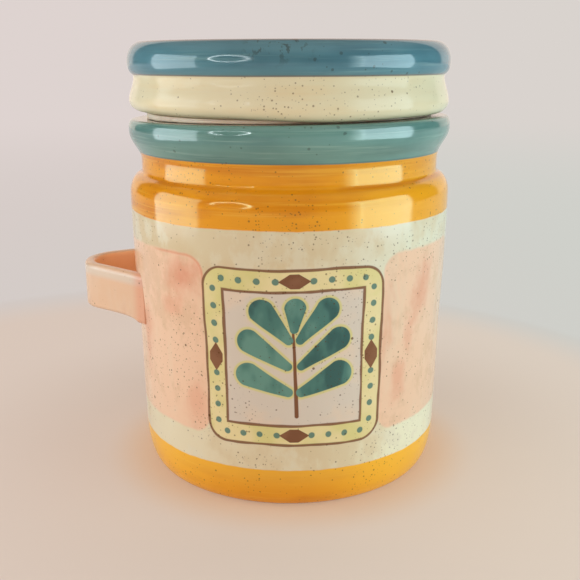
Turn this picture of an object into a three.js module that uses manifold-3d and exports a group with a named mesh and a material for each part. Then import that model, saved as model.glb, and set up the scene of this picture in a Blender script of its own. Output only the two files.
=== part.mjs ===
// Ceramic crock with a spoon loop on its wall and a flat-topped lid on a soft sealing ring.
// Sizes are millimetres and +Z is up. The origin is the centre of the foot, on the crock's axis.

import * as THREE from 'three';
import { mergeVertices } from 'three/addons/utils/BufferGeometryUtils.js';
import Module from 'manifold-3d';

const wasm = await Module();
wasm.setup();

// Crock: wall and foot
const bodyRadius = 60.5; // outside of the wall, below its flare
const footTaper = 0.6; // how much narrower the wall is above the foot's rounding
const footInset = 5.5; // how far the foot's rounding draws in
const footRounding = 15; // height of that rounding
const flareLow = 36; // height where the wall starts to widen
const flareRise = 70; // height over which it widens
const flareWidth = 1.8; // how much wider it is at the shoulder
const wallThickness = 5;
const floorThickness = 6;
const insideCorner = 8; // rounding between the floor and the inside of the wall

// Crock: shoulder, neck and rim, each height standing on the one before
const shoulderFace = 3.8; // upright part, above the flare
const shoulderRounding = 7.1; // rounding from there in to the neck
const neckInset = 3; // neck inside the line of the wall
const neckHeight = 7.8;
const neckThickness = 4.25; // from the neck's outside to the bore of the mouth
const neckRunIn = 13; // height over which the bore widens below the neck
const rimSwell = 7.8; // height over which the neck swells out to the rim
const rimProud = 1.3; // rim beyond the line of the wall
const rimFace = 2.9; // upright part of the rim
const rimEdge = 2.6; // rounding of the rim's outer top edge
const mouthEdge = 0.6; // rounding of the rim's inner top edge

// Spoon loop: a strap on edge, two straight legs joined by a round nose
const loopReach = 23.8; // from the wall's line to the outside of the nose
const loopNoseRadius = 17; // outside of the nose, seen from above
const loopLegAngle = 34.7; // each leg's slant from the loop's own axis, in degrees
const loopThickness = 4.2;
const loopHeight = 18; // width of the strap, which stands upright
const loopMidHeight = 70.7; // middle of the strap above the foot
const loopEdge = 1.2; // rounding along the strap's edges

// Lid
const lidSetback = 0.5; // upper bead inside the rim's line
const upperBeadHeight = 11.8;
const upperBeadRound = 3.8; // rounded underside of the upper bead
const lidTopRound = 6.5; // height of the rounding up to the flat top
const lidTopInset = 5.5; // how far that rounding draws in
const grooveDepth = 2.3; // groove between the two beads, inside the upper bead
const grooveFloor = 0.5; // upright bottom of the groove
const lowerBeadSetback = 0.3; // lower bead inside the upper bead
const lowerBeadHeight = 13.8;
const lowerBeadRound = 5.5; // height of the lower bead's rounded underside
const lowerBeadInset = 6; // how far that underside draws in
const lidThickness = 5.5; // wall of the hollow casting
const lidTopThickness = 6;
const chamberCorner = 3; // rounding inside the hollow casting
const flangeThickness = 4;
const flangeDepth = 12.5; // below the lid's underside
const flangeEdge = 1; // rounding at the flange's lower edge

// Sealing ring: a sleeve on the flange, with fins in the mouth and a lip on the rim
const sealSpace = 3.25; // between the flange and the bore of the mouth
const sealSleeve = 1.2; // thickness of the sleeve
const sealHeight = 10.2; // from the lip's top down to the sleeve's end
const sealLip = 0.9; // thickness of the lip
const sealLipOverhang = 1.35; // lip beyond the bore of the mouth
const finCount = 3;
const finPitch = 2.5;
const finRoot = 1.6; // height of a fin where it leaves the sleeve
const finTip = 0.5; // height of a fin at its tip

// Clearance between pieces that touch
const seatGap = 0.3;

// Facets of the round solids
const roundSides = 56;
const arcSteps = 4;
const noseSteps = 14;

// Sizes that follow from the ones above
const footWallRadius = bodyRadius - footTaper;
const shoulderRadius = bodyRadius + flareWidth;
const neckRadius = bodyRadius - neckInset;
const mouthRadius = neckRadius - neckThickness;
const rimRadius = bodyRadius + rimProud;
const shoulderLow = flareLow + flareRise;
const shoulderHigh = shoulderLow + shoulderFace;
const neckLow = shoulderHigh + shoulderRounding;
const neckHigh = neckLow + neckHeight;
const rimLow = neckHigh + rimSwell;
const rimTop = rimLow + rimFace + rimEdge;

const sealLipLow = rimTop + seatGap;
const sealLipHigh = sealLipLow + sealLip;
const lidUnderside = sealLipHigh + seatGap;
const grooveHeight = lidUnderside + lowerBeadHeight;
const lidTop = grooveHeight + upperBeadHeight;
const upperBeadRadius = rimRadius - lidSetback;
const lowerBeadRadius = upperBeadRadius - lowerBeadSetback;
const grooveRadius = upperBeadRadius - grooveDepth;
const flangeRadius = mouthRadius - sealSpace;
const flangeBore = flangeRadius - flangeThickness;
const flangeLow = lidUnderside - flangeDepth;

// Quarter of an ellipse from one profile point to another, without its first point.
// It leaves the first point upright or level, and arrives the other way.
function quarterRound(from, to, leavesUpright) {
  const points = [];
  for (let step = 1; step <= arcSteps; step++) {
    const angle = (Math.PI / 2) * (step / arcSteps);
    const early = 1 - Math.cos(angle);
    const late = Math.sin(angle);
    const shareR = leavesUpright ? early : late;
    const shareZ = leavesUpright ? late : early;
    points.push([from[0] + (to[0] - from[0]) * shareR, from[1] + (to[1] - from[1]) * shareZ]);
  }
  return points;
}

// Smooth S between two profile points, upright at both ends, without its first point.
function easedStep(from, to) {
  const points = [];
  for (let step = 1; step <= arcSteps; step++) {
    const along = step / arcSteps;
    const share = (1 - Math.cos(Math.PI * along)) / 2;
    points.push([from[0] + (to[0] - from[0]) * share, from[1] + (to[1] - from[1]) * along]);
  }
  return points;
}

// Solid of revolution about +Z from a closed profile of [radius, height] points.
function turned(profile) {
  const outline = profile.map(([radius, height]) => new THREE.Vector2(radius, height));
  const geometry = new THREE.LatheGeometry(outline, roundSides);
  geometry.rotateX(Math.PI / 2);
  return geometry;
}

function solidFrom(geometry) {
  const bare = geometry.clone();
  bare.deleteAttribute('normal');
  bare.deleteAttribute('uv');
  const merged = mergeVertices(bare, 1e-4);
  const corners = merged.index.array;
  const kept = [];
  for (let i = 0; i < corners.length; i += 3) {
    const [a, b, c] = corners.slice(i, i + 3);
    if (a !== b && b !== c && c !== a) {
      kept.push(a, b, c);
    }
  }
  return new wasm.Manifold(new wasm.Mesh({
    numProp: 3,
    vertProperties: new Float32Array(merged.attributes.position.array),
    triVerts: new Uint32Array(kept),
  }));
}

function geometryFrom(solid) {
  const mesh = solid.getMesh();
  const geometry = new THREE.BufferGeometry();
  geometry.setAttribute('position', new THREE.BufferAttribute(mesh.vertProperties, 3));
  geometry.setIndex(new THREE.BufferAttribute(mesh.triVerts, 1));
  geometry.computeVertexNormals();
  return geometry;
}

// Outside of the crock from the foot to the rim's outer edge, grown sideways by an allowance.
function crockOutside(allowance) {
  const points = [
    [footWallRadius - footInset, 0],
    ...quarterRound([footWallRadius - footInset, 0], [footWallRadius, footRounding], false),
    [bodyRadius, flareLow],
    ...easedStep([bodyRadius, flareLow], [shoulderRadius, shoulderLow]),
    [shoulderRadius, shoulderHigh],
    ...quarterRound([shoulderRadius, shoulderHigh], [neckRadius, neckLow], true),
    [neckRadius, neckHigh],
    ...easedStep([neckRadius, neckHigh], [rimRadius, rimLow]),
    [rimRadius, rimTop - rimEdge],
    ...quarterRound([rimRadius, rimTop - rimEdge], [rimRadius - rimEdge, rimTop], true),
  ];
  return points.map(([radius, height]) => [radius + allowance, height]);
}

function crockBody() {
  const wallBore = bodyRadius - wallThickness;
  const shoulderBore = shoulderRadius - wallThickness;
  const footBore = footWallRadius - wallThickness;
  const floorHigh = floorThickness + insideCorner;
  return turned([
    [0, 0],
    ...crockOutside(0),
    [mouthRadius + mouthEdge, rimTop],
    ...quarterRound([mouthRadius + mouthEdge, rimTop], [mouthRadius, rimTop - mouthEdge], false),
    [mouthRadius, neckLow],
    ...easedStep([mouthRadius, neckLow], [shoulderBore, neckLow - neckRunIn]),
    ...easedStep([shoulderBore, neckLow - neckRunIn], [wallBore, flareLow]),
    [footBore, floorHigh],
    ...quarterRound([footBore, floorHigh], [footBore - insideCorner, floorThickness], true),
    [0, floorThickness],
  ]);
}

// The strap's plan points to -X: half a nose circle, with a leg leaving it on each side.
// A leg runs to the place where it is nearest the crock's axis, and the crock cuts it there.
function spoonLoop() {
  const slant = THREE.MathUtils.degToRad(loopLegAngle);
  const noseCentre = bodyRadius + loopReach - loopNoseRadius;
  const legEnd = noseCentre * Math.cos(slant);
  const side = (radius, turn) => [
    -noseCentre - radius * Math.cos(turn),
    radius * Math.sin(turn),
  ];
  const strapSide = (radius) => {
    const widest = Math.PI / 2 - slant;
    const points = [];
    for (let step = 0; step <= noseSteps; step++) {
      points.push(side(radius, widest * ((2 * step) / noseSteps - 1)));
    }
    const reach = ([x, y], sign) => [
      x + legEnd * Math.cos(slant),
      y + sign * legEnd * Math.sin(slant),
    ];
    return [reach(points[0], -1), ...points, reach(points[noseSteps], 1)];
  };
  const outer = strapSide(loopNoseRadius);
  const inner = strapSide(loopNoseRadius - loopThickness).reverse();
  const plan = new THREE.Shape([...outer, ...inner].map(([x, y]) => new THREE.Vector2(x, y)));
  const strap = new THREE.ExtrudeGeometry(plan, {
    depth: loopHeight - 2 * loopEdge,
    bevelThickness: loopEdge,
    bevelSize: loopEdge,
    bevelOffset: -loopEdge,
    bevelSegments: 2,
    curveSegments: 1,
  });
  strap.translate(0, 0, loopMidHeight - loopHeight / 2 + loopEdge);
  const crock = turned([[0, 0], ...crockOutside(seatGap), [0, rimTop]]);
  return geometryFrom(solidFrom(strap).subtract(solidFrom(crock)));
}

function lidCasting() {
  const chamberRadius = lowerBeadRadius - lidThickness;
  const chamberLow = lidUnderside + lidThickness;
  const chamberHigh = lidTop - lidTopThickness;
  const underEdge = [lowerBeadRadius - lowerBeadInset, lidUnderside];
  const lowerWidest = [lowerBeadRadius, lidUnderside + lowerBeadRound];
  const grooveLow = [grooveRadius, grooveHeight - grooveFloor];
  const groove = [grooveRadius, grooveHeight];
  const upperWidest = [upperBeadRadius, grooveHeight + upperBeadRound];
  const upperHigh = [upperBeadRadius, lidTop - lidTopRound];
  const topEdge = [upperBeadRadius - lidTopInset, lidTop];
  return turned([
    [0, chamberHigh],
    [chamberRadius - chamberCorner, chamberHigh],
    ...quarterRound([chamberRadius - chamberCorner, chamberHigh],
      [chamberRadius, chamberHigh - chamberCorner], false),
    [chamberRadius, chamberLow],
    [flangeBore, chamberLow],
    [flangeBore, flangeLow + flangeEdge],
    [flangeBore + flangeEdge, flangeLow],
    [flangeRadius - flangeEdge, flangeLow],
    [flangeRadius, flangeLow + flangeEdge],
    [flangeRadius, lidUnderside],
    underEdge,
    ...quarterRound(underEdge, lowerWidest, false),
    ...easedStep(lowerWidest, grooveLow),
    groove,
    ...quarterRound(groove, upperWidest, false),
    upperHigh,
    ...quarterRound(upperHigh, topEdge, true),
    [0, lidTop],
  ]);
}

function sealingRing() {
  const bore = flangeRadius + seatGap;
  const sleeveRadius = bore + sealSleeve;
  const tipRadius = mouthRadius - seatGap;
  const low = sealLipHigh - sealHeight;
  const outside = [];
  for (let fin = 0; fin < finCount; fin++) {
    const root = low + finPitch * (fin + 0.5) - finRoot / 2;
    const tip = root + (finRoot - finTip) / 2;
    outside.push([sleeveRadius, root], [tipRadius, tip]);
    outside.push([tipRadius, tip + finTip], [sleeveRadius, root + finRoot]);
  }
  return turned([
    [bore, low],
    [sleeveRadius, low],
    ...outside,
    [sleeveRadius, sealLipLow],
    [mouthRadius + sealLipOverhang, sealLipLow],
    [mouthRadius + sealLipOverhang, sealLipHigh],
    [bore, sealLipHigh],
    [bore, low],
  ]);
}

const creamGlaze = new THREE.MeshStandardMaterial({ color: 0xe6dcc0, roughness: 0.22, metalness: 0 });
const pinkGlaze = new THREE.MeshStandardMaterial({ color: 0xe8b89a, roughness: 0.25, metalness: 0 });
const blueGlaze = new THREE.MeshStandardMaterial({ color: 0x4b7d8c, roughness: 0.18, metalness: 0 });
const softRing = new THREE.MeshStandardMaterial({ color: 0xe9dcd2, roughness: 0.6, metalness: 0 });

function piece(name, geometry, material) {
  const mesh = new THREE.Mesh(geometry, material);
  mesh.name = name;
  return mesh;
}

const crock = new THREE.Group();
crock.add(
  piece('crock_body', crockBody(), creamGlaze),
  piece('spoon_loop', spoonLoop(), pinkGlaze),
  piece('lid', lidCasting(), blueGlaze),
  piece('lid_seal', sealingRing(), softRing),
);

export default crock;
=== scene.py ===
"""Looks of the ceramic crock: glazed body, spoon loop, lid and sealing ring, in one frame."""

import math

import bpy
import numpy as np
from mathutils import Matrix, Vector


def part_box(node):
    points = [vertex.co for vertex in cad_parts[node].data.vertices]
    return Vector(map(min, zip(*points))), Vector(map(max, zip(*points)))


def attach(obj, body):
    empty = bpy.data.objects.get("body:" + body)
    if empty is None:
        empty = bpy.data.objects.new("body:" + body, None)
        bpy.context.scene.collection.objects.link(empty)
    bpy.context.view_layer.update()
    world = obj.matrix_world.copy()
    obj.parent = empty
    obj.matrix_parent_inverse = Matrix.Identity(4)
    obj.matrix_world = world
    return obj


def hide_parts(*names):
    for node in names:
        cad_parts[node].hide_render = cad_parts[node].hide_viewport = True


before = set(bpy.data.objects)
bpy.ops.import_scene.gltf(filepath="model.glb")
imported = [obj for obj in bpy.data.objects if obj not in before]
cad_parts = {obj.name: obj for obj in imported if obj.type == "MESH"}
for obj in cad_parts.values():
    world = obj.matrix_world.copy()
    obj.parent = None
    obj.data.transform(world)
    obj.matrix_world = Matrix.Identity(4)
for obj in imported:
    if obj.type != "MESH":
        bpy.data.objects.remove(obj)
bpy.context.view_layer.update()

# Lengths are millimetres in this script, and MM turns them into Blender's metres.
MM = 0.001

# Heights and radii that the frame gives
rim_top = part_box("crock_body")[1].z / MM
shoulder_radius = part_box("crock_body")[1].y / MM
lid_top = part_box("lid")[1].z / MM
flange_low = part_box("lid")[0].z / MM
upper_bead_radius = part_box("lid")[1].y / MM
seal_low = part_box("lid_seal")[0].z / MM
seal_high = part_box("lid_seal")[1].z / MM
seal_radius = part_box("lid_seal")[1].y / MM
loop_tip = -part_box("spoon_loop")[0].x / MM
loop_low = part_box("spoon_loop")[0].z / MM
loop_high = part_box("spoon_loop")[1].z / MM

# Crock, as in the solids
body_radius = shoulder_radius - 1.8
foot_wall_radius = body_radius - 0.6
foot_inset = 5.5
foot_rounding = 15.0
floor_thickness = 6.0
wall_thickness = 5.0
inside_corner = 8.0
flare_low = 36.0
shoulder_low = 106.0
shoulder_high = 109.8
neck_low = 116.9
neck_high = 124.7
rim_low = 132.5
neck_radius = body_radius - 3.0
mouth_radius = neck_radius - 4.25
rim_radius = body_radius + 1.3
mouth_edge = 0.6

# The rim's outer curve, a little finer than in the solids, and how far the rim leans and sinks
rim_edge = 1.4
rim_edge_height = 3.0
rim_curve_low = neck_high - 1.8
rim_curve_high = rim_low + 1.0
rim_lean = 0.6
rim_drop = 0.45

# Lid and sealing ring, as in the solids
lid_underside = seal_high + 0.3
groove_height = lid_top - 11.8
groove_radius = upper_bead_radius - 2.3
lower_bead_radius = upper_bead_radius - 0.3
flange_radius = mouth_radius - 3.25
flange_bore = flange_radius - 4.0
chamber_radius = lower_bead_radius - 5.5
chamber_low = lid_underside + 5.5
chamber_high = lid_top - 6.0
seal_bore = flange_radius + 0.3
sleeve_radius = seal_bore + 1.2
fin_radius = mouth_radius - 0.3
lip_low = seal_high - 0.9

# Spoon loop, as in the solids
loop_slant = math.radians(34.7)
loop_thickness = 4.2
loop_nose_radius = 17.0
loop_mid_radius = loop_nose_radius - loop_thickness / 2
loop_centre = loop_tip - loop_nose_radius
loop_foot = 26.0
loop_edge = 1.5

# Camera, from the photograph's perspective
photo_pixels = 580
focal_pixels = 848.0
camera_distance = 336.4
camera_height = 159.5
camera_pitch = math.radians(15.38)
camera_roll = math.radians(-0.14)
camera_turn = math.radians(4.5)
camera_shift = 0.53 / photo_pixels

# Profiles: outlines as arrays of (radius, height)


def straight(start, end):
    """Line between two profile points."""
    return np.linspace(start, end, 12)


def upright_first(start, end):
    """Quarter of an ellipse between two profile points that leaves upright and ends level."""
    angle = np.linspace(0, math.pi / 2, 24)
    share = np.column_stack([1 - np.cos(angle), np.sin(angle)])
    return np.array(start) + (np.array(end) - np.array(start)) * share


def level_first(start, end):
    """Quarter of an ellipse between two profile points that leaves level and ends upright."""
    angle = np.linspace(0, math.pi / 2, 24)
    share = np.column_stack([np.sin(angle), 1 - np.cos(angle)])
    return np.array(start) + (np.array(end) - np.array(start)) * share


def eased(start, end):
    """Smooth S between two profile points: half a cosine in radius, with an even rise in height."""
    along = np.linspace(0, 1, 24)
    share = np.column_stack([(1 - np.cos(math.pi * along)) / 2, along])
    return np.array(start) + (np.array(end) - np.array(start)) * share


def outline(start, *legs, spacing=0.25, softness=0.6, closed=False):
    """Legs end to end, each given by its curve and its end, sampled evenly along their length and
    smoothed with a bell curve as wide as softness says."""
    ends = [start] + [end for curve, end in legs]
    points = np.vstack([curve(ends[i], end) for i, (curve, end) in enumerate(legs)])
    steps = np.hypot(*np.diff(points, axis=0).T)
    keep = np.concatenate([[True], steps > 1e-6])
    points = points[keep]
    along = np.concatenate([[0], np.cumsum(np.hypot(*np.diff(points, axis=0).T))])
    count = max(8, int(round(along[-1] / spacing)))
    even = np.linspace(0, along[-1], count + 1)
    points = np.column_stack([np.interp(even, along, points[:, i]) for i in (0, 1)])
    reach = int(math.ceil(3 * softness / spacing))
    bell = np.exp(-0.5 * (np.arange(-reach, reach + 1) * spacing / softness) ** 2)
    bell /= bell.sum()
    if closed:
        points = points[:-1]
        padded = np.vstack([points[-reach:], points, points[:reach]])
    else:
        first = 2 * points[0] - points[reach:0:-1]
        last = 2 * points[-1] - points[-2:-reach - 2:-1]
        padded = np.vstack([first, points, last])
    return np.column_stack([np.convolve(padded[:, i], bell, mode="valid") for i in (0, 1)])


def thinned(profile, fine, coarse, is_fine):
    """Every few points of an evenly sampled profile: more of them where is_fine says so."""
    kept, since = [0], 0
    for index in range(1, len(profile) - 1):
        since += 1
        if since >= (fine if is_fine(*profile[index]) else coarse):
            kept.append(index)
            since = 0
    return profile[kept + [len(profile) - 1]]


# Surfaces


def add_object(name, data):
    """A new object in the scene."""
    made = bpy.data.objects.new(name, data)
    bpy.context.scene.collection.objects.link(made)
    return made


def mesh_object(name, points, faces):
    """A smooth-shaded object from points in millimetres and faces as lists of point numbers."""
    mesh = bpy.data.meshes.new(name)
    mesh.from_pydata((points * MM).tolist(), [], faces)
    mesh.polygons.foreach_set("use_smooth", [True] * len(mesh.polygons))
    mesh.update()
    return add_object(name, mesh)


def grid_faces(rows, columns, wrap_rows):
    """Quads of a grid that closes on itself along its columns and, if asked, along its rows."""
    row = np.arange(rows if wrap_rows else rows - 1)[:, None]
    column = np.arange(columns)[None, :]
    next_row, next_column = (row + 1) % rows, (column + 1) % columns
    quads = [row * columns + column, row * columns + next_column,
             next_row * columns + next_column, next_row * columns + column]
    corners = [np.broadcast_to(quad, (len(row), columns)) for quad in quads]
    return np.stack(corners, -1).reshape(-1, 4).tolist()


def turned(name, profile, turns, relief=None, closed=False):
    """Surface of revolution: a profile point (r, z) at angle a lies at (r cos a, r sin a, z).
    relief(r, z, a) gives how far it then moves outwards and upwards.
    An open profile starts and ends on the axis, where each end becomes one point."""
    angle = np.linspace(0, 2 * math.pi, turns, endpoint=False)
    rings = profile if closed else profile[1:-1]
    radius = np.repeat(rings[:, :1], turns, axis=1)
    height = np.repeat(rings[:, 1:], turns, axis=1)
    if relief is not None:
        out, up = relief(radius, height, angle[None, :])
        radius, height = radius + out, height + up
    points = np.stack([radius * np.cos(angle), radius * np.sin(angle), height], -1).reshape(-1, 3)
    faces = grid_faces(len(rings), turns, closed)
    if not closed:
        first, last = len(points), len(points) + 1
        top = (len(rings) - 1) * turns
        points = np.vstack([points, [0, 0, profile[0, 1]], [0, 0, profile[-1, 1]]])
        faces += [[first, (i + 1) % turns, i] for i in range(turns)]
        faces += [[last, top + i, top + (i + 1) % turns] for i in range(turns)]
    return mesh_object(name, points, faces)


def smooth_step(low, high, value):
    """0 below low, 1 above high, and an S between."""
    share = np.clip((value - low) / (high - low), 0, 1)
    return share * share * (3 - 2 * share)


def hand_made(angle, height, seed, waves=(2, 3, 5, 7)):
    """Slow waviness between -1 and 1: a few waves round the axis, each leaning with height."""
    draw = np.random.default_rng(seed)
    total, size = 0, 0
    for wave in waves:
        strength = 1 / wave
        lean, start = draw.uniform(-0.04, 0.04), draw.uniform(0, 2 * math.pi)
        total = total + strength * np.cos(wave * angle + lean * height + start)
        size += strength
    return total / size


# Crock body


def crock_profile():
    """From the middle of the foot up the outside, over the rim and down the inside."""
    foot_bore = foot_wall_radius - wall_thickness
    whole = outline(
        (0, 0),
        (straight, (foot_wall_radius - foot_inset, 0)),
        (level_first, (foot_wall_radius, foot_rounding)),
        (straight, (body_radius, flare_low)),
        (eased, (shoulder_radius, shoulder_low)),
        (straight, (shoulder_radius, shoulder_high)),
        (upright_first, (neck_radius, neck_low)),
        (straight, (neck_radius, rim_curve_low)),
        (eased, (rim_radius, rim_curve_high)),
        (straight, (rim_radius, rim_top - rim_edge_height)),
        (upright_first, (rim_radius - rim_edge, rim_top)),
        (straight, (mouth_radius + mouth_edge, rim_top)),
        (level_first, (mouth_radius, rim_top - mouth_edge)),
        (straight, (mouth_radius, neck_low)),
        (eased, (shoulder_radius - wall_thickness, neck_low - 13)),
        (eased, (body_radius - wall_thickness, flare_low)),
        (straight, (foot_bore, floor_thickness + inside_corner)),
        (upright_first, (foot_bore - inside_corner, floor_thickness)),
        (straight, (0, floor_thickness)),
    )
    return thinned(whole, 4, 10, lambda r, z: r > mouth_radius - 0.5 and (r > 56.5 or z > 115))


def rim_sag(angle):
    """How far the rim stands above its drawn height: a little at the front right, and below it
    towards the loop and the back."""
    sideways, behind = np.cos(angle - camera_turn), np.sin(angle - camera_turn)
    return rim_lean * sideways - rim_lean * behind - rim_drop


def crock_relief(radius, height, angle):
    """The wall waves by a fraction of a millimetre, and the whole rim leans."""
    wave = 0.12
    outer = smooth_step(0, 8, height) * smooth_step(54, 58, radius)
    out = wave * outer * (hand_made(angle, height, 3) - 1)
    up = rim_sag(angle) * smooth_step(neck_high - 3, neck_high + 2, height)
    return out, up


# Lid


def lid_profile():
    """From the middle of the hollow's ceiling down round the flange, and up to the top."""
    whole = outline(
        (0, chamber_high),
        (straight, (chamber_radius - 3, chamber_high)),
        (level_first, (chamber_radius, chamber_high - 3)),
        (straight, (chamber_radius, chamber_low)),
        (straight, (flange_bore, chamber_low)),
        (straight, (flange_bore, flange_low + 1)),
        (upright_first, (flange_bore + 1, flange_low)),
        (straight, (flange_radius - 1, flange_low)),
        (level_first, (flange_radius, flange_low + 1)),
        (straight, (flange_radius, lid_underside)),
        (straight, (lower_bead_radius - 4.4, lid_underside)),
        (level_first, (lower_bead_radius, lid_underside + 4.0)),
        (eased, (groove_radius, groove_height - 0.5)),
        (straight, (groove_radius, groove_height)),
        (level_first, (upper_bead_radius, groove_height + 4.6)),
        (upright_first, (upper_bead_radius - 5.5, lid_top)),
        (straight, (0, lid_top)),
        softness=0.45,
    )
    return thinned(whole, 3, 10, lambda r, z: r > 50)


def lid_relief(radius, height, angle):
    """The lower bead's edge is higher towards the loop than elsewhere, and the beads wave."""
    wave, left_lift, middle_fall, right_rise = 0.15, 0.6, 1.35, 0.45
    outer = smooth_step(55, 58, radius)
    out = wave * outer * (hand_made(angle, height, 11) - 1)
    sideways = np.cos(angle - camera_turn)
    lift = left_lift - middle_fall * smooth_step(-0.45, 0.25, sideways)
    lift = lift + right_rise * smooth_step(0.25, 0.75, sideways)
    near_edge = smooth_step(groove_height - 4, lid_underside + 1, height)
    up = lift * near_edge * smooth_step(seal_radius - 0.5, seal_radius + 1.2, radius)
    return out, up


# Sealing ring


def seal_profile():
    """Section of the ring: sleeve, three fins that reach the mouth, and the lip on the rim."""
    fin_pitch, fin_root, fin_tip = 2.5, 1.6, 0.5
    corners = [(seal_bore, seal_low), (sleeve_radius, seal_low)]
    for fin in range(3):
        root = seal_low + fin_pitch * (fin + 0.5) - fin_root / 2
        tip = root + (fin_root - fin_tip) / 2
        corners += [(sleeve_radius, root), (fin_radius, tip)]
        corners += [(fin_radius, tip + fin_tip), (sleeve_radius, root + fin_root)]
    corners += [(sleeve_radius, lip_low), (seal_radius, lip_low), (seal_radius, seal_high)]
    corners += [(seal_bore, seal_high), (seal_bore, seal_low)]
    sides = [(straight, corner) for corner in corners[1:]]
    return outline(corners[0], *sides, spacing=0.2, softness=0.12, closed=True)


def seal_relief(radius, height, angle):
    """The lip follows the rim under it, and its top comes close to the lid."""
    over_rim = smooth_step(sleeve_radius + 0.2, sleeve_radius + 0.8, radius)
    under_lip = over_rim * smooth_step(lip_low + 0.6, lip_low + 0.1, height)
    up = (rim_sag(angle) - 0.1) * under_lip * smooth_step(lip_low - 0.4, lip_low - 0.1, height)
    return 0, up + 0.2 * smooth_step(seal_high - 0.3, seal_high, height)


# Spoon loop


def loop_path(count):
    """Middle line of the strap seen from above: a leg, the round nose and the other leg.
    Returns the points and the outward direction at each."""
    widest = math.pi / 2 - loop_slant
    arc = 2 * widest * loop_mid_radius
    leg = loop_centre * math.cos(loop_slant) - loop_foot
    along = np.linspace(-arc / 2 - leg, arc / 2 + leg, count)
    turn = np.clip(along, -arc / 2, arc / 2) / loop_mid_radius
    straight_on = along - np.clip(along, -arc / 2, arc / 2)
    out = np.column_stack([-np.cos(turn), np.sin(turn)])
    forward = np.column_stack([np.sin(turn), np.cos(turn)])
    nose = np.array([-loop_centre, 0]) + loop_mid_radius * out
    return nose + forward * straight_on[:, None], out


def loop_section():
    """The strap's section: (thickness, height) round a rectangle with rounded corners."""
    t, h, c = loop_thickness / 2, (loop_high - loop_low) / 2, loop_edge
    return outline(
        (t, 0),
        (straight, (t, h - c)), (upright_first, (t - c, h)),
        (straight, (c - t, h)), (level_first, (-t, h - c)),
        (straight, (-t, c - h)), (upright_first, (c - t, -h)),
        (straight, (t - c, -h)), (level_first, (t, c - h)),
        (straight, (t, 0)),
        spacing=0.7, softness=0.35, closed=True,
    )


def spoon_loop():
    """The section carried along the path: path point + outward * thickness + up * height.
    Close to the wall the section grows, by a share that falls off with the distance from it,
    and its lower edge droops there and at the nose."""
    path, out = loop_path(220)
    section = loop_section()
    wall_radius = (body_radius + shoulder_radius) / 2
    middle = (loop_high + loop_low) / 2
    gap = np.maximum(np.hypot(path[:, 0], path[:, 1]) - wall_radius, 0)
    flare = 0.3 * np.exp(-gap / 1.4)[:, None]
    side = np.sign(section[None, :, 0])
    thick = section[None, :, 0] + flare * side * np.abs(section[None, :, 0] / (loop_thickness / 2))
    high = section[None, :, 1] * (1 + flare / 9 * 0.55)
    plan = path[:, None, :] + out[:, None, :] * thick[:, :, None]
    angle = np.arange(len(path))[:, None] / len(path) * 5
    nose = np.exp(-(((path[:, 1:2]) / 13.0) ** 2)) * (path[:, :1] < 0)
    droop = 0.9 * nose + 1.5 * np.exp(-gap / 1.8)[:, None]
    high = high + 0.18 * np.sin(angle + 0.6) - droop * smooth_step(0, -6, high) + middle
    points = np.concatenate([plan, high[:, :, None]], -1).reshape(-1, 3)
    columns = len(section)
    faces = grid_faces(len(path), columns, False)
    faces.append(list(range(columns))[::-1])
    faces.append([(len(path) - 1) * columns + i for i in range(columns)])
    return mesh_object("loop_surface", points, faces)


crock = turned("crock_surface", crock_profile(), 320, crock_relief)
lid = turned("lid_surface", lid_profile(), 320, lid_relief)
seal = turned("seal_surface", seal_profile(), 256, seal_relief, closed=True)
loop = spoon_loop()

for made, body, node, slot in [
    (crock, "crock", "crock_body", "crock_glaze"),
    (loop, "crock", "spoon_loop", "loop_glaze"),
    (lid, "lid", "lid", "lid_glaze"),
    (seal, "seal", "lid_seal", "seal_silicone"),
]:
    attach(made, body)
    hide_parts(node)

# Paint: colours, and short ways to work a glaze out from where a point lies


def shade(red, green, blue):
    """A screen's colour, from 0 to 255, as the linear numbers that shaders take."""
    share = np.array([red, green, blue]) / 255
    linear = np.where(share <= 0.04045, share / 12.92, ((share + 0.055) / 1.055) ** 2.4)
    return (*linear.tolist(), 1.0)


CREAM = shade(218, 204, 170)
CREAM_LOW = shade(226, 216, 186)
CREAM_LIT_RIGHT = shade(224, 223, 200)
CREAM_LOW_LIT_RIGHT = shade(238, 236, 206)
CREAM_WARM = shade(212, 190, 150)
CREAM_PALE = shade(224, 218, 194)
LID_CREAM = shade(228, 220, 187)
LID_CREAM_WARM = shade(227, 207, 162)
LID_CREAM_THIN = shade(226, 220, 192)
LID_CREAM_LIT_RIGHT = shade(218, 212, 180)
YELLOW = shade(234, 154, 14)
YELLOW_LIT = shade(255, 190, 46)
YELLOW_DEEP = shade(206, 116, 10)
YELLOW_THIN = shade(244, 186, 64)
TEAL = shade(102, 149, 142)
TEAL_DEEP = shade(76, 122, 118)
TEAL_THIN = shade(150, 188, 176)
BLUE = shade(84, 134, 148)
BLUE_DEEP = shade(62, 108, 124)
BLUE_THIN = shade(124, 168, 172)
PINK = shade(238, 199, 169)
PINK_DEEP = shade(226, 164, 132)
ROSE = shade(222, 142, 112)
PINK_THIN = shade(234, 208, 180)
TAN = shade(206, 168, 132)
LOOP_PINK = shade(226, 188, 156)
LOOP_PINK_DEEP = shade(214, 156, 122)
LOOP_PINK_THIN = shade(226, 196, 168)
LOOP_INSIDE_SHADE = shade(255, 192, 142)
CHALK = shade(216, 206, 192)
LEAF = shade(78, 124, 116)
LEAF_DEEP = shade(54, 92, 90)
LEAF_THIN = shade(112, 158, 144)
LIME = shade(214, 208, 136)
STRIP = shade(232, 218, 166)
UMBER = shade(126, 84, 58)
SPECK = shade(84, 50, 14)
SOOT = shade(48, 64, 60)
BARE_CLAY = shade(222, 204, 196)
BARE_CLAY_DARK = shade(204, 180, 168)
SEAL_MILK = shade(234, 218, 200)
SEAL_SHADE = shade(210, 184, 164)
GAP_SHADE = shade(140, 140, 118)
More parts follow.
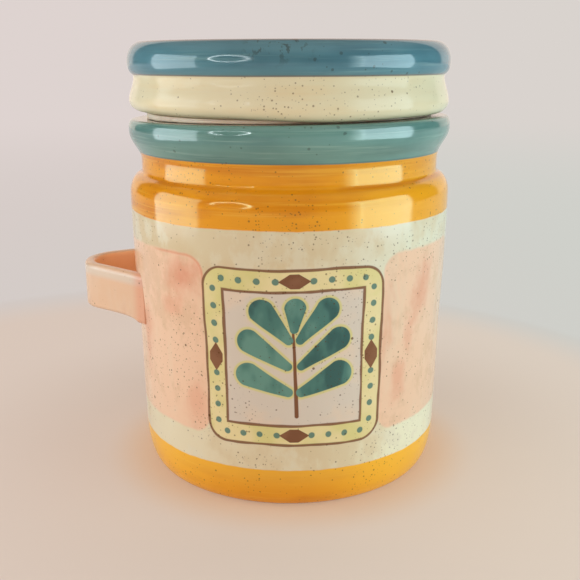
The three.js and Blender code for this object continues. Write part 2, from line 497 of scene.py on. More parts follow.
WHITE = (1.0, 1.0, 1.0, 1.0)
YELLOW_MIRROR = (0.72, 0.9, 0.5, 1.0)


def arithmetic(operation, swapped=False):
    """A method that works out one operation on two numbers with a shader node."""
    def apply(self, other):
        return self.graph.math(operation, *((other, self) if swapped else (self, other)))
    return apply


class Field:
    """A number that varies over a surface: one output of a shader node, with plain arithmetic."""

    __add__ = __radd__ = arithmetic("ADD")
    __sub__, __rsub__ = arithmetic("SUBTRACT"), arithmetic("SUBTRACT", swapped=True)
    __mul__ = __rmul__ = arithmetic("MULTIPLY")
    __truediv__ = arithmetic("DIVIDE")

    def __init__(self, graph, socket):
        self.graph = graph
        self.socket = socket

    def __abs__(self):
        return self.graph.math("ABSOLUTE", self)


class Graph:
    """A node tree, emptied, with short ways to add nodes to it."""

    def __init__(self, tree):
        self.tree = tree
        self.tree.nodes.clear()

    def node(self, kind, inputs=None, **settings):
        """A new node. inputs gives what goes into its sockets, by name or number."""
        made = self.tree.nodes.new(kind)
        for name, value in settings.items():
            setattr(made, name, value)
        for name, value in (inputs or {}).items():
            self.feed(made.inputs[name], value)
        return made

    def feed(self, socket, value):
        """Links a field or a socket to an input, or sets a plain number or colour there."""
        if isinstance(value, Field):
            self.tree.links.new(value.socket, socket)
        elif isinstance(value, bpy.types.NodeSocket):
            self.tree.links.new(value, socket)
        else:
            socket.default_value = value

    def math(self, operation, *values):
        made = self.node("ShaderNodeMath", dict(enumerate(values)), operation=operation)
        return Field(self, made.outputs[0])

    def least(self, a, b):
        return self.math("MINIMUM", a, b)

    def most(self, a, b):
        return self.math("MAXIMUM", a, b)

    def length(self, a, b):
        return self.math("SQRT", a * a + b * b)

    def rise(self, value, low, high, start=0.0, end=1.0):
        """Smooth step: start where value is low or less, end where it is high or more."""
        made = self.node("ShaderNodeMapRange", {
            "Value": value, "From Min": low, "From Max": high, "To Min": start, "To Max": end,
        }, interpolation_type="SMOOTHSTEP")
        return Field(self, made.outputs["Result"])

    def inside(self, distance, edge=0.3):
        """1 where a signed distance in millimetres is negative, 0 outside, with a soft edge."""
        return self.rise(distance, -edge / 2, edge / 2, 1.0, 0.0)

    def mix(self, under, over, share):
        """One colour over another, by a share from 0 to 1."""
        made = self.node("ShaderNodeMix", {0: share, 6: under, 7: over},
                         data_type="RGBA", clamp_factor=True)
        return made.outputs[2]


class Glaze(Graph):
    """A glossy material that depends on a point's place on the piece: east, north and height in
    millimetres, and radius, the distance from the axis."""

    def __init__(self, name):
        self.material = bpy.data.materials.new(name)
        self.material.use_nodes = True
        super().__init__(self.material.node_tree)
        self.shader = self.node("ShaderNodeBsdfPrincipled")
        self.output = self.node("ShaderNodeOutputMaterial",
                                {"Surface": self.shader.outputs["BSDF"]})
        self.place = self.node("ShaderNodeTexCoord").outputs["Object"]
        split = self.node("ShaderNodeSeparateXYZ", {0: self.place})
        self.east, self.north, self.height = (
            Field(self, split.outputs[axis]) * (1 / MM) for axis in "XYZ")
        self.radius = self.length(self.east, self.north)

    def mapped(self, stretch, move):
        """The place multiplied by stretch, one number or one for each axis, then moved."""
        stretch = stretch if isinstance(stretch, tuple) else (stretch,) * 3
        return self.node("ShaderNodeMapping", {
            "Vector": self.place, "Scale": stretch, "Location": move}).outputs["Vector"]

    def noise(self, stretch, detail=2.0, roughness=0.5, distortion=0.0, move=(0, 0, 0)):
        """Cloudy noise around 0.5, with stretch in waves per metre."""
        made = self.node("ShaderNodeTexNoise", {
            "Vector": self.mapped(stretch, move), "Scale": 1.0, "Detail": detail,
            "Roughness": roughness, "Distortion": distortion,
        }, noise_dimensions="3D")
        return Field(self, made.outputs["Fac"])

    def specks(self, pitch, share, smallest, largest, crowd, move=(0, 0, 0)):
        """Scattered dots, one in each cell of that pitch in millimetres, of which a share show.
        Radii run from smallest to largest, and crowd thins them out where it is low."""
        made = self.node("ShaderNodeTexVoronoi", {
            "Vector": self.mapped(1 / (pitch * MM), move), "Scale": 1.0,
        }, voronoi_dimensions="3D", feature="F1")
        split = self.node("ShaderNodeSeparateColor", {0: made.outputs["Color"]})
        draw, grade = (Field(self, output) for output in split.outputs[:2])
        shown = self.math("LESS_THAN", draw, crowd * share)
        distance = Field(self, made.outputs["Distance"]) * pitch
        reach = grade * grade * grade * (largest - smallest) + smallest
        return self.inside(distance - reach, 0.24) * shown

    def oval(self, bearing, middle, half_width, half_height):
        """Distance on the crock's wall from a place on it, in shares of an oval's half sizes."""
        aside = self.arc_from(bearing, body_radius) / half_width
        return self.length(aside, (self.height - middle) / half_height)

    def arc_from(self, bearing, radius):
        """Distance round the axis from a bearing in degrees, along a circle of that radius."""
        cosine, sine = math.cos(math.radians(bearing)), math.sin(math.radians(bearing))
        ahead = self.east * cosine + self.north * sine
        aside = self.north * cosine - self.east * sine
        return self.math("ARCTAN2", aside, ahead) * radius

    def finish(self, colour, gloss, relief=None, depth=0.05, shine=0.5, tint=WHITE):
        """Feeds the shader: colour, roughness, a relief that is depth millimetres high, and how
        strongly and in what tint the surface mirrors."""
        for name, value in (("Base Color", colour), ("Roughness", gloss),
                            ("Specular IOR Level", shine), ("Specular Tint", tint)):
            self.feed(self.shader.inputs[name], value)
        if relief is not None:
            bump = self.node("ShaderNodeBump", {
                "Distance": depth * MM, "Strength": 1.0, "Height": relief})
            self.feed(self.shader.inputs["Normal"], bump.outputs["Normal"])
        return self.material


def brushed(glaze, body, deep, thin, seed):
    """A band laid on with a brush while the piece turns: long level streaks, thick and thin."""
    wide = glaze.noise((9, 9, 150), detail=3, roughness=0.55, move=(seed, 0, 0))
    fine = glaze.noise((24, 24, 900), detail=3, roughness=0.6, move=(0, seed, 0))
    cloud = glaze.noise((38, 38, 60), detail=3, move=(0, 0, seed))
    colour = glaze.mix(body, deep, glaze.rise(wide * 0.6 + cloud * 0.4, 0.47, 0.66) * 0.75)
    colour = glaze.mix(colour, thin, glaze.rise(fine * 0.6 + wide * 0.4, 0.53, 0.7) * 0.55)
    return colour, wide + fine * 0.35


def washed(glaze, body, deep, thin, seed):
    """A thin wash dabbed on with a broad brush: upright strokes that pool and fade."""
    cloud = glaze.noise((46, 46, 30), detail=4, roughness=0.6, distortion=0.6, move=(seed, 0, 0))
    dab = glaze.noise((120, 120, 22), detail=3, roughness=0.55, move=(0, seed, 0))
    colour = glaze.mix(body, thin, glaze.rise(dab * 0.5 + cloud * 0.5, 0.5, 0.64) * 0.8)
    return glaze.mix(colour, deep, glaze.rise(cloud * 0.7 + dab * 0.3, 0.53, 0.74) * 0.8)


def speckled(glaze, colour, heavy, seed, clusters=()):
    """Iron specks burnt through the glaze, many fine and a few coarse, in drifts and clusters."""
    drift = glaze.noise((24, 24, 30), detail=3, move=(0, seed, 7))
    crowd = glaze.rise(drift, 0.44, 0.62, 0.12, 0.75)
    for cluster in clusters:
        crowd = glaze.most(crowd, glaze.rise(glaze.oval(*cluster), 0.3, 1.3, 1.5, 0.0))
    fine = glaze.specks(1.1, 1.1 * heavy, 0.13, 0.36, crowd, (seed, 3, 1))
    coarse = glaze.specks(4.2, 0.6 * heavy, 0.24, 0.6, crowd * crowd, (5, seed, 2))
    colour = glaze.mix(colour, SPECK, fine * 0.62)
    return glaze.mix(colour, SPECK, coarse * 0.8)


# Glazes

CROCK_CLUSTERS = [
    # Bearing, height, half width, half height
    (-115.0, 33.0, 7.0, 11.0),
    (-96.5, 19.5, 10.0, 3.5),
    (-78.5, 107.5, 5.0, 4.5),
    (-76.0, 100.5, 14.0, 4.0),
    (-152.0, 64.0, 8.0, 16.0),
]
LID_CLUSTERS = [(-92.0, 146.0, 9.0, 5.0)]

# Bearings in degrees: painted light on the right of crock and lid, pink that pooled, the front of
# the low band, away from which painted light grows on its sides, and soot on the lid
LIT_RIGHT_BEARING = -20.0
LID_LIT_RIGHT_BEARING = -40.0
POOL_BEARING = -123.0
FRONT_BEARING = -88.0
SOOT_BEARING = -89.0

PANEL_BEARINGS = (-84.0, 21.5, 114.0)
PANEL_MIDDLE = 58.3
PANEL_HALF_WIDTH = 32.0
PANEL_HALF_HEIGHT = 32.4
PANEL_CORNER = 7.0
BAND_WIDTH = 7.6
DOT_PITCH, DOT_RADIUS = 6.2, 1.15
WASH_LOW, WASH_HIGH = 27.5, 94.0
WASH_CORNER = 7.0
LOW_BAND_TOP = 16.0
HIGH_BAND_LOW = 103.8
RIM_BAND_LOW = 125.2
BLOTCHES = [
    # Bearing, height, half width, half height, strength
    (-123.5, 84.5, 9.0, 8.5, 0.75),
    (-129.0, 74.0, 5.0, 4.0, 0.4),
    (-119.0, 39.0, 6.5, 10.0, 0.42),
    (-148.0, 58.0, 5.0, 16.0, 0.5),
    (-34.0, 78.0, 7.0, 14.0, 0.6),
    (-40.5, 60.0, 3.2, 9.0, 0.4),
    (-45.0, 47.0, 4.5, 11.0, 0.5),
    (86.0, 80.0, 8.0, 9.0, 0.6),
    (62.0, 46.0, 7.0, 12.0, 0.5),
    (152.0, 60.0, 6.0, 14.0, 0.5),
]


def rounded_box(glaze, across, up, half_width, half_height, corner):
    """Signed distance from a rectangle with round corners: negative inside."""
    beyond_x = abs(across) - (half_width - corner)
    beyond_y = abs(up) - (half_height - corner)
    outside = glaze.length(glaze.most(beyond_x, 0.0), glaze.most(beyond_y, 0.0))
    return outside + glaze.least(glaze.most(beyond_x, beyond_y), 0.0) - corner


def stroke(glaze, across, up, start, end, start_radius, end_radius):
    """Signed distance from a brush stroke, whose half width goes evenly from end to end."""
    run = (end[0] - start[0], end[1] - start[1])
    square = run[0] ** 2 + run[1] ** 2
    from_x, from_y = across - start[0], up - start[1]
    share = (from_x * run[0] + from_y * run[1]) / square
    share.socket.node.use_clamp = True
    gap = glaze.length(from_x - share * run[0], from_y - share * run[1])
    return gap - (share * (end_radius - start_radius) + start_radius)


def dot_row(glaze, along, across):
    """Signed distance from a row of dots spaced evenly along one direction."""
    step = glaze.math("ROUND", along / DOT_PITCH) * DOT_PITCH
    return glaze.length(along - step, across) - DOT_RADIUS


def painted_panel(glaze, ground, across, up):
    """A leafy sprig on a pale field, in a round-cornered frame whose dotted border has a brown
    lozenge in the middle of each side."""
    mix, rise, inside, noise = glaze.mix, glaze.rise, glaze.inside, glaze.noise
    sway = noise(34, move=(4, 0, 0)) - 0.5
    drift = noise(30, move=(0, 9, 0)) - 0.5
    x = across + sway * 2.4
    y = up + drift * 2.4
    outer = rounded_box(glaze, x, y, PANEL_HALF_WIDTH, PANEL_HALF_HEIGHT, PANEL_CORNER)
    inner = outer + BAND_WIDTH
    tint = noise(60, detail=3, move=(2, 2, 0))
    border = mix(STRIP, LIME, rise(tint, 0.42, 0.66) * 0.75)
    colour = mix(ground, border, inside(outer))
    field = mix(CHALK, PINK_THIN, rise(tint, 0.5, 0.7) * 0.5)
    colour = mix(colour, field, inside(inner))

    band_x = abs(x) - (PANEL_HALF_WIDTH - BAND_WIDTH / 2)
    band_y = abs(y) - (PANEL_HALF_HEIGHT - BAND_WIDTH / 2)
    dots = glaze.least(dot_row(glaze, x, band_y), dot_row(glaze, y, band_x))
    band_only = inside(outer + 1.2) - inside(inner - 1.2)
    dotted = band_only * inside(glaze.least(abs(x), abs(y)) - 27.0)
    colour = mix(colour, LEAF, inside(dots) * dotted * 0.9)
    lozenge = glaze.least(abs(x) + abs(band_y) * 1.5, abs(y) + abs(band_x) * 1.5) - 5.4
    umber = mix(UMBER, shade(146, 104, 76), rise(tint, 0.45, 0.6) * 0.6)
    colour = mix(colour, umber, inside(lozenge) * band_only)

    side = abs(x)
    leaves = stroke(glaze, side, y, (2.2, -12.0), (16.0, -5.5), 1.7, 4.7)
    for low, high in (((2.4, -2.2), (15.5, 7.2)), ((2.0, 7.4), (11.0, 18.0))):
        leaves = glaze.least(leaves, stroke(glaze, side, y, low, high, 1.6, 4.3))
    leaves = glaze.least(leaves, stroke(glaze, x, y, (0, 11.5), (0, 19.0), 1.6, 3.7))
    stem = stroke(glaze, x + y * 0.04, y, (0, -21.0), (0, 11.0), 0.75, 0.45)
    colour = mix(colour, LIME, inside(leaves - 0.9, 0.8) * 0.85)
    tone = noise((80, 80, 44), detail=3, move=(1, 0, 5))
    leaf = mix(LEAF, LEAF_DEEP, rise(tone, 0.5, 0.62) * 0.85)
    leaf = mix(leaf, LEAF_THIN, rise(tone, 0.5, 0.36) * 0.7)
    colour = mix(colour, UMBER, inside(stem))
    colour = mix(colour, leaf, inside(leaves))

    width = noise(90, move=(6, 1, 3)) * 0.7 + 0.15
    rule = glaze.least(abs(outer), abs(inner)) - width
    return mix(colour, UMBER, inside(rule, 0.35) * 0.92)


def sag_at(glaze):
    """The rim's sag, as rim_sag gives it, at a point of the glaze."""
    right = glaze.east * math.cos(camera_turn) + glaze.north * math.sin(camera_turn)
    back = glaze.north * math.cos(camera_turn) - glaze.east * math.sin(camera_turn)
    return (right - back) * rim_lean / glaze.radius - rim_drop


def crock_glaze():
    """Bands of yellow and teal, a cream ground with pink washes, and three painted panels."""
    glaze = Glaze("crock_glaze")
    mix, rise, inside, noise = glaze.mix, glaze.rise, glaze.inside, glaze.noise
    height, radius = glaze.height, glaze.radius
    waver = noise((16, 16, 30)) - 0.5
    ragged = noise(150, detail=3) - 0.5
    edge = waver * 1.6 + ragged * 0.7

    cream_cloud = noise((30, 30, 40), detail=3, move=(3, 3, 3))
    cream_dab = noise((110, 110, 70), detail=4, roughness=0.6, move=(1, 6, 2))
    # Painted light: paler, greener cream towards the crock's right side, also on the low wall
    lit_right = rise(abs(glaze.arc_from(LIT_RIGHT_BEARING, body_radius)), 68.0, 34.0)
    cream = mix(CREAM_LOW, CREAM, rise(height, 25.0, 85.0))
    cream = mix(cream, CREAM_LIT_RIGHT, lit_right)
    cream = mix(cream, CREAM_LOW_LIT_RIGHT, lit_right * rise(height, 36.0, 24.0) * 0.8)
    warm = rise(cream_cloud * 0.6 + cream_dab * 0.4, 0.46, 0.62)
    colour = mix(cream, CREAM_WARM, warm * 0.6)
    colour = mix(colour, CREAM_PALE, rise(cream_dab, 0.48, 0.36) * 0.55)

    nearest, *others = (glaze.arc_from(bearing, body_radius) for bearing in PANEL_BEARINGS)
    for arc in others:
        closer = glaze.math("LESS_THAN", abs(arc), abs(nearest))
        nearest = nearest + (arc - nearest) * closer
    up = height - PANEL_MIDDLE

    wash_x = PANEL_HALF_WIDTH + WASH_CORNER - abs(nearest)
    wash_half = (WASH_HIGH - WASH_LOW) / 2
    wash_y = abs(height - (WASH_HIGH + WASH_LOW) / 2) - (wash_half - WASH_CORNER)
    wash = glaze.length(glaze.most(wash_x, 0.0), glaze.most(wash_y, 0.0)) - WASH_CORNER
    wash = wash + edge * 1.2
    pink = washed(glaze, PINK, PINK_DEEP, PINK_THIN, 6)
    mottle = noise((170, 170, 130), detail=4, roughness=0.65, move=(8, 2, 6))
    pink = mix(pink, TAN, rise(mottle * 0.6 + cream_cloud * 0.4, 0.49, 0.62) * 0.35)
    blot = noise((75, 75, 60), detail=4, roughness=0.65, move=(8, 2, 6)) * 2.6 - 1.3
    for *blotch, strength in BLOTCHES:
        stain = rise(glaze.oval(*blotch) + blot, 0.1, 1.3, strength, 0.0)
        pink = mix(pink, ROSE, stain)
    colour = mix(colour, pink, inside(wash + mottle * 1.2 - 0.6, 1.5) * 0.92)
    pooled = rise(abs(glaze.arc_from(POOL_BEARING, body_radius)), 17.0, 9.0)
    pooled = pooled * rise(height, 76.0, 86.0)
    colour = mix(colour, ROSE, inside(abs(wash + 0.4) - 0.4, 0.9) * pooled * 0.6)
    colour = painted_panel(glaze, colour, nearest, up)

    yellow, yellow_relief = brushed(glaze, YELLOW, YELLOW_DEEP, YELLOW_THIN, 2)
    low_down = inside(height - 50, 1)
    aside = rise(abs(glaze.arc_from(FRONT_BEARING, body_radius)), 12.0, 48.0)
    paler = rise(height, 5.0, LOW_BAND_TOP, 0.1, 0.6) * low_down
    yellow = mix(yellow, YELLOW_THIN, paler)
    # Painted light: brighter yellow on the right side, and on the low band's sides away from the
    # front
    painted_light_share = glaze.least(lit_right * 0.32 + aside * low_down * 0.55, 0.9)
    yellow = mix(yellow, YELLOW_LIT, painted_light_share)
    low_band = inside(height - LOW_BAND_TOP + edge, 0.5)
    high_band = inside(HIGH_BAND_LOW - height + edge, 0.5)
    banded = glaze.most(low_band, high_band)
    # Painted shade: deeper yellow along the crease under the neck
    crease_shade = inside(abs(height - neck_low - 0.2 + waver) - 0.6, 1.2)
    yellow = mix(yellow, YELLOW_DEEP, crease_shade * rise(cream_cloud, 0.4, 0.6) * 0.7)
    colour = mix(colour, yellow, banded)
    colour = speckled(glaze, colour, 1.0, 4, CROCK_CLUSTERS)

    teal, teal_relief = brushed(glaze, TEAL, TEAL_DEEP, TEAL_THIN, 8)
    above_teal_edge = height - RIM_BAND_LOW - waver * 0.8
    teal = mix(teal, SOOT, inside(above_teal_edge - 0.5, 0.5) * 0.4)
    smudge = noise((30, 30, 60), move=(9, 4, 1))
    soot = glaze.specks(2.2, 0.7, 0.2, 0.7, rise(smudge, 0.5, 0.64), (6, 2, 8))
    teal = mix(teal, SOOT, soot * 0.5)
    teal_share = inside(0.0 - above_teal_edge, 0.4)
    colour = mix(colour, teal, teal_share)
    # Painted shade: a dark olive ring on the rim's flat top just outside the seal, where the gap
    # under the lid is in shadow
    gap_shade = inside(radius - (rim_radius - 3.0), 1.6)
    gap_shade = gap_shade * inside(rim_top + sag_at(glaze) - 0.9 - height, 0.5)
    colour = mix(colour, GAP_SHADE, gap_shade * 0.85)

    bore = rise(height, 108.0, 113.0, body_radius - 2.5, mouth_radius + 2.0)
    within = inside(radius - bore, 0.6) * rise(height, 5.0, 5.5)
    colour = mix(colour, CREAM, within)
    rim_flat = inside(rim_top - 3.0 - height, 0.5)
    rim_flat = rim_flat * inside(radius - (seal_radius - 0.4), 0.5)
    foot_flat = inside(height - 0.25, 0.3)
    clay_cloud = noise(140, detail=3, move=(5, 5, 5))
    clay = mix(BARE_CLAY, BARE_CLAY_DARK, rise(clay_cloud, 0.45, 0.7) * 0.5)
    colour = mix(colour, clay, glaze.most(rim_flat, foot_flat))
    ripple = noise((55, 55, 90), move=(7, 1, 1))
    relief = yellow_relief * 0.5 + teal_relief * 0.2 + ripple
    gloss = rise(ripple, 0.3, 0.7, 0.07, 0.14)
    yellow_share = glaze.least(banded, 1.0 - teal_share)
    tint = mix(WHITE, YELLOW_MIRROR, yellow_share)
    shine = (yellow_share + teal_share) * 0.65 + 0.25
    return glaze.finish(colour, gloss, relief, shine=shine, tint=tint)


def lid_glaze():
    """Cream lower bead with streaks, and a blue upper bead and top with sooty marks. The flat top
    is duller, and the hollow under it is cream."""
    glaze = Glaze("lid_glaze")
    mix, rise, inside, noise = glaze.mix, glaze.rise, glaze.inside, glaze.noise
    height = glaze.height
    waver = noise((16, 16, 30)) - 0.5
    cream, cream_relief = brushed(glaze, LID_CREAM, LID_CREAM_WARM, LID_CREAM_THIN, 1)
    # Painted light: paler, greener cream towards the lid's right side
    lit_right = rise(abs(glaze.arc_from(LID_LIT_RIGHT_BEARING, lower_bead_radius)), 50.0, 22.0)
    cream = mix(cream, LID_CREAM_LIT_RIGHT, lit_right * 0.55)
    colour = speckled(glaze, cream, 0.6, 9, LID_CLUSTERS)
    blue, blue_relief = brushed(glaze, BLUE, BLUE_DEEP, BLUE_THIN, 5)
    marks = noise(24, move=(2, 8, 1))
    smoked = rise(abs(glaze.arc_from(SOOT_BEARING, upper_bead_radius)), 14.0, 4.0)
    smoked = smoked * rise(height, groove_height + 2.0, lid_top - 2.5)
    smoked = smoked * rise(glaze.radius, upper_bead_radius - 9.0, upper_bead_radius - 5.0)
    crowd = rise(marks, 0.48, 0.62) * 0.7
    blue = mix(blue, SOOT, glaze.specks(2.6, 0.8, 0.2, 0.8, crowd, (3, 2, 1)) * 0.55)
    streaks = noise((420, 420, 260), detail=3, roughness=0.6, distortion=0.4, move=(1, 7, 4))
    blue = mix(blue, SOOT, rise(streaks, 0.56, 0.63) * smoked * 0.7)
    on_top = rise(glaze.radius, upper_bead_radius - 5.2, upper_bead_radius - 6.8)
    above_edge = height - groove_height - waver * 0.5
    top_line = abs(glaze.least(above_edge, lid_top - height)) + on_top
    blue = mix(blue, UMBER, inside(top_line - 0.45, 0.5) * 0.55)
    hollow = inside(glaze.radius - (chamber_radius + 1.0))
    hollow = hollow * inside(height - (chamber_high + 1.0))
    blue_share = inside(0.0 - above_edge, 0.35) * (1.0 - hollow)
    colour = mix(colour, blue, blue_share)
    ripple = noise((55, 55, 90), move=(3, 1, 1))
    gloss = rise(ripple, 0.3, 0.7, 0.07, 0.14)
    relief = blue_relief * 0.4 + cream_relief * 0.3 + ripple
    dull = on_top * inside(lid_top - 1.0 - height, 0.5)
    shine = blue_share * (1.0 - dull) * 0.46 + 0.2 - dull * 0.08
    return glaze.finish(colour, gloss + dull * 0.25, relief, shine=shine)


def loop_glaze():
    """Tan-pink wash, deeper near the wall, with a painted highlight under the strap's top edge and
    painted orange shade on its inner face.
    """
    glaze = Glaze("loop_glaze")
    cosine, sine = math.cos(loop_slant), math.sin(loop_slant)
    ahead, aside = glaze.east + loop_centre, abs(glaze.north)
    on_leg = glaze.rise(ahead * cosine + aside * sine, -1.0, 1.0)
    from_nose = glaze.length(ahead, aside) - loop_mid_radius
    from_leg = aside * cosine - ahead * sine - loop_mid_radius
    from_middle = from_nose + (from_leg - from_nose) * on_leg
    colour = washed(glaze, LOOP_PINK, LOOP_PINK_DEEP, LOOP_PINK_THIN, 3)
    # Painted highlight: a pale band just under the strap's top edge
    below_top = loop_high - glaze.height
    pale = glaze.rise(below_top, 5.5, 3.0) * glaze.rise(below_top, 0.2, 1.6)
    colour = glaze.mix(colour, CHALK, pale * 0.6)
    # Painted shade: warm orange on the strap's inner face, for light bounced there from the crock
    inner = glaze.inside(from_middle + 1.5, 0.8)
    colour = glaze.mix(colour, LOOP_INSIDE_SHADE, inner * 0.85)
    root = glaze.rise(glaze.radius, shoulder_radius + 2.6, shoulder_radius)
    colour = glaze.mix(colour, ROSE, root * 0.5)
    colour = speckled(glaze, colour, 0.4, 2)
    ripple = glaze.noise(80)
    return glaze.finish(colour, glaze.rise(ripple, 0.3, 0.7, 0.1, 0.2), ripple, 0.06, 0.3)


def seal_silicone():
    """Milky silicone that lets some light through, with a fine mould grain."""
    glaze = Glaze("seal_silicone")
    cloud = glaze.noise(90)
    colour = glaze.mix(SEAL_MILK, SEAL_SHADE, glaze.rise(cloud, 0.4, 0.7))
    glaze.shader.inputs["Subsurface Weight"].default_value = 0.1
    glaze.shader.inputs["Subsurface Scale"].default_value = 0.002
    grain = glaze.noise(1500, detail=1)
    return glaze.finish(colour, glaze.rise(cloud, 0.3, 0.7, 0.5, 0.65), grain, 0.02, 0.2)


for made, material in ((crock, crock_glaze()), (lid, lid_glaze()),
                       (loop, loop_glaze()), (seal, seal_silicone())):
    made.data.materials.append(material)

# Studio: bearings are degrees round the crock from the camera's side, positive to its right

BACKDROP_LOW = shade(213, 203, 199), shade(206, 208, 202)
BACKDROP_HIGH = shade(222, 211, 208), shade(217, 211, 206)
TABLE_LEFT = shade(219, 201, 188)
TABLE_RIGHT = shade(220, 207, 193)
TABLE_GLOW = shade(222, 203, 189), shade(235, 217, 199)
BAND_BOUNCE = shade(224, 178, 128)
TABLE_RADIUS = 228.0
RING_BEARING = -39.2
BOX_DISTANCE, BOX_LOW, BOX_HIGH = 0.42, 0.015, 0.295


def from_camera_side(bearing, distance, height):
    """A place in metres, at a bearing and a distance from the crock's axis."""
    angle = math.radians(bearing) + camera_turn
    return Vector((math.sin(angle) * distance, -math.cos(angle) * distance, height))


def soft_box(name, bearing, spread, distance, low, high, glow, tint):
    """An upright lamp, glow bright, that faces the crock and spans a spread of bearings."""
    width = 2 * distance * math.tan(math.radians(spread / 2))
    lamp = bpy.data.lights.new(name, "AREA")
    lamp.shape = "RECTANGLE"
    lamp.size, lamp.size_y = width, high - low
    lamp.energy = glow * math.pi * width * (high - low)
    lamp.color = tint
    made = add_object(name, lamp)
    spot = from_camera_side(bearing, distance, (low + high) / 2)
    made.location = spot
    made.rotation_euler = Vector((spot.x, spot.y, 0)).to_track_quat("Z", "Y").to_euler()
    made.visible_camera = False
    return made


def glowing(name, colour, strength):
    """A material that only shines."""
    glow = bpy.data.materials.new(name)
    glow.use_nodes = True
    graph = Graph(glow.node_tree)
    emission = graph.node("ShaderNodeEmission", {"Color": colour, "Strength": strength})
    graph.node("ShaderNodeOutputMaterial", {"Surface": emission.outputs[0]})
    return glow


def reflect_only(made):
    """Hides an object from everything but reflections."""
    made.visible_camera = made.visible_diffuse = made.visible_shadow = False


def ring_lamp():
    """A glowing hoop: a small circle carried round an oval, turned towards the crock."""
    hoop_radius, tube_radius, flatness = 0.182, 0.013, 0.82
    distance, height, aim_height = 0.75, 0.305, 0.1
    turns, sides = 96, 12
    around, across = np.meshgrid(np.linspace(0, 2 * math.pi, turns, endpoint=False),
                                 np.linspace(0, 2 * math.pi, sides, endpoint=False), indexing="ij")
    reach = hoop_radius + tube_radius * np.cos(across)
    points = np.stack([reach * np.cos(around), reach * np.sin(around) * flatness,
                       tube_radius * np.sin(across)], -1)
    made = mesh_object("ring_lamp", points.reshape(-1, 3) / MM, grid_faces(turns, sides, True))
    spot = from_camera_side(RING_BEARING, distance, height)
    turn = (Vector((0, 0, aim_height)) - spot).to_track_quat("Z", "Y").to_matrix().to_4x4()
    made.matrix_world = Matrix.Translation(spot) @ turn
    made.data.materials.append(glowing("ring_glow", shade(240, 250, 252), 13.0))
    made.visible_camera = False


def ring_card():
    """A low card that hides the ring's lower part from what the rim and the shoulder mirror."""
    distance, half_width, low, high = 0.2, 0.045, 0.105, 0.143
    middle = from_camera_side(RING_BEARING, distance, 0.0)
    along = Vector((-middle.y, middle.x, 0)).normalized() * half_width
    corners = [middle - along, middle + along]
    points = np.array([[*corner.xy, height] for height in (low, high) for corner in corners])
    made = mesh_object("ring_card", points / MM, [[0, 1, 3, 2]])
    made.data.materials.append(glowing("ring_card", shade(168, 158, 150), 1.0))
    reflect_only(made)


def side_glow():
    """A curved card beside the right soft box, which makes its reflection fade at one end."""
    fade_from, fade_to, distance, steps = 35.0, 47.6, 0.41, 11
    bearings = np.linspace(fade_from, fade_to, steps + 1)
    feet = [from_camera_side(bearing, distance, 0.0) for bearing in bearings]
    points = np.array([[foot.x, foot.y, height] for foot in feet for height in (BOX_LOW, BOX_HIGH)])
    faces = [[2 * i, 2 * i + 1, 2 * i + 3, 2 * i + 2] for i in range(steps)]
    made = mesh_object("side_glow", points / MM, faces)
    card = Glaze("side_glow")
    turned_by = card.arc_from(math.degrees(camera_turn) - 90.0 + fade_to, 180 / math.pi)
    strength = card.rise(turned_by, fade_from - fade_to, 0.0, 0.0, 3.6)
    glow = card.node("ShaderNodeEmission", {"Color": (0.75, 1.0, 1.0, 1.0), "Strength": strength})
    clear = card.node("ShaderNodeBsdfTransparent")
    both = card.node("ShaderNodeAddShader", {0: glow.outputs[0], 1: clear.outputs[0]})
    card.feed(card.output.inputs["Surface"], both.outputs[0])
    made.data.materials.append(card.material)
    reflect_only(made)


def backdrop_colour(graph, sideways, far):
    """Pinkish grey on the left, greenish grey on the right, and paler as far goes from 0 to 1."""
    left, right = (graph.mix(low, high, far) for low, high in zip(BACKDROP_LOW, BACKDROP_HIGH))
    return graph.mix(left, right, graph.rise(sideways, -0.35, 0.35))


def floor():
    """A pale floor: a round warm patch under the crock, painted orange bounce light from the
    crock's yellow band near its foot, and the backdrop's own colour beyond it.
    """
    turns, reach = 96, 2.5
    angle = np.linspace(0, 2 * math.pi, turns, endpoint=False)
    points = np.column_stack([np.cos(angle), np.sin(angle), np.zeros(turns)]) * reach / MM
    made = mesh_object("floor", points, [list(range(turns))])
    sheet = Glaze("floor_paper")
    right = (sheet.east * math.cos(camera_turn) + sheet.north * math.sin(camera_turn)) * MM
    cloud = sheet.noise(7)
    rightness = sheet.rise(right + (cloud - 0.5) * 0.1, -0.15, 0.15)
    warm = sheet.mix(TABLE_LEFT, TABLE_RIGHT, rightness)
    beyond = sheet.rise(sheet.radius + right * 200.0, TABLE_RADIUS - 30, TABLE_RADIUS + 30)
    far = sheet.rise(sheet.radius, TABLE_RADIUS, 2000.0)
    paper = sheet.mix(warm, backdrop_colour(sheet, right, far), beyond)
    lit = sheet.mix(sheet.mix(*TABLE_GLOW, rightness), paper, beyond)
    # Painted light: orange bounce from the crock's yellow band, on the floor near its foot
    bounce = sheet.rise(sheet.radius, 80.0, 55.0, 0.0, 0.5)
    paper = sheet.mix(paper, BAND_BOUNCE, bounce)
    sheet.finish(sheet.mix(lit, BAND_BOUNCE, bounce), 0.75, shine=0.2)
    rays = sheet.node("ShaderNodeLightPath").outputs
    seen = sheet.most(Field(sheet, rays["Is Camera Ray"]), Field(sheet, rays["Is Glossy Ray"]))
    glow = sheet.node("ShaderNodeEmission", {"Color": paper})
    away = sheet.rise(sheet.radius, 70.0, 180.0, 0.48, 0.9)
    blend = sheet.node("ShaderNodeMixShader", {
        0: seen * sheet.most(away, beyond), 1: sheet.shader.outputs["BSDF"], 2: glow.outputs[0]})
    sheet.feed(sheet.output.inputs["Surface"], blend.outputs[0])
    made.data.materials.append(sheet.material)


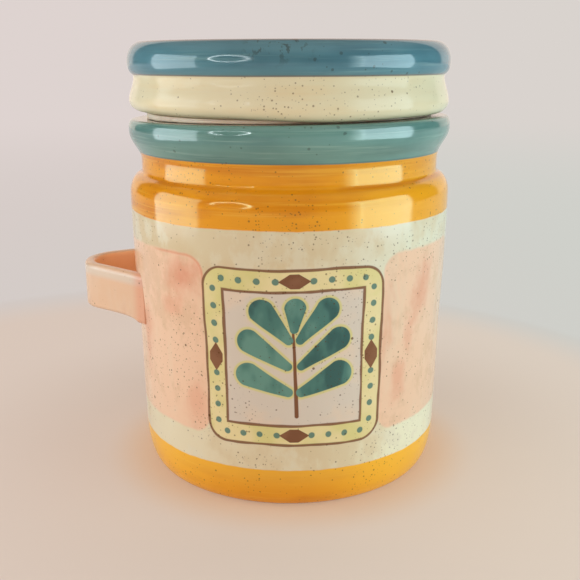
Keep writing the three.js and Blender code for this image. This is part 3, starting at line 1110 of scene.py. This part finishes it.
def room():
    """The world: pale to the camera, and otherwise a dim room with a bright backdrop behind."""
    world = bpy.data.worlds.new("room")
    bpy.context.scene.world = world
    world.use_nodes = True
    graph = Graph(world.node_tree)
    split = graph.node("ShaderNodeSeparateXYZ",
                       {0: graph.node("ShaderNodeTexCoord").outputs["Generated"]})
    east, north, up = (Field(graph, split.outputs[axis]) for axis in "XYZ")
    right = east * math.cos(camera_turn) + north * math.sin(camera_turn)
    lean = camera_turn - math.radians(4)
    behind = north * math.cos(lean) - east * math.sin(lean)
    pale = graph.node("ShaderNodeBackground", {"Color": backdrop_colour(graph, right, 1.0)})
    front = graph.rise(behind, -0.1, 0.25, 0.31, 0.14)
    backdrop = graph.rise(behind, 0.68, 0.705, 0.0, 0.9)
    ceiling = graph.rise(up, 0.45, 0.75, 0.0, 0.32)
    around = graph.node("ShaderNodeBackground", {
        "Color": shade(250, 232, 220), "Strength": front + backdrop + ceiling})
    camera_ray = graph.node("ShaderNodeLightPath").outputs["Is Camera Ray"]
    blend = graph.node("ShaderNodeMixShader",
                       {0: camera_ray, 1: around.outputs[0], 2: pale.outputs[0]})
    graph.node("ShaderNodeOutputWorld", {"Surface": blend.outputs[0]})


soft_box("left_box", -81.0, 40.0, BOX_DISTANCE, BOX_LOW, BOX_HIGH, 3.1, (0.84, 0.98, 1.04))
soft_box("right_box", 67.6, 41.3, BOX_DISTANCE, BOX_LOW, BOX_HIGH, 3.9, (0.75, 1.0, 1.08))
# A warm fill from the front, which the glaze doesn't mirror
front_fill = soft_box("front_fill", -4.0, 30.0, 0.6, 0.10, 0.40, 1.55, (1.0, 0.52, 0.26))
front_fill.visible_glossy = False
ring_lamp()
ring_card()
side_glow()
floor()
room()

# Camera

camera_data = bpy.data.cameras.new("camera")
camera_data.sensor_width = 36.0
camera_data.lens = focal_pixels / photo_pixels * camera_data.sensor_width
camera_data.shift_x = camera_shift
camera = add_object("camera", camera_data)
spot = Vector((math.sin(camera_turn), -math.cos(camera_turn), 0)) * camera_distance * MM
spot.z = camera_height * MM
camera.matrix_world = (
    Matrix.Translation(spot)
    @ Matrix.Rotation(camera_turn, 4, "Z")
    @ Matrix.Rotation(math.pi / 2 - camera_pitch, 4, "X")
    @ Matrix.Rotation(camera_roll, 4, "Z")
)
bpy.context.scene.camera = camera
bpy.context.scene.view_settings.view_transform = "Standard"
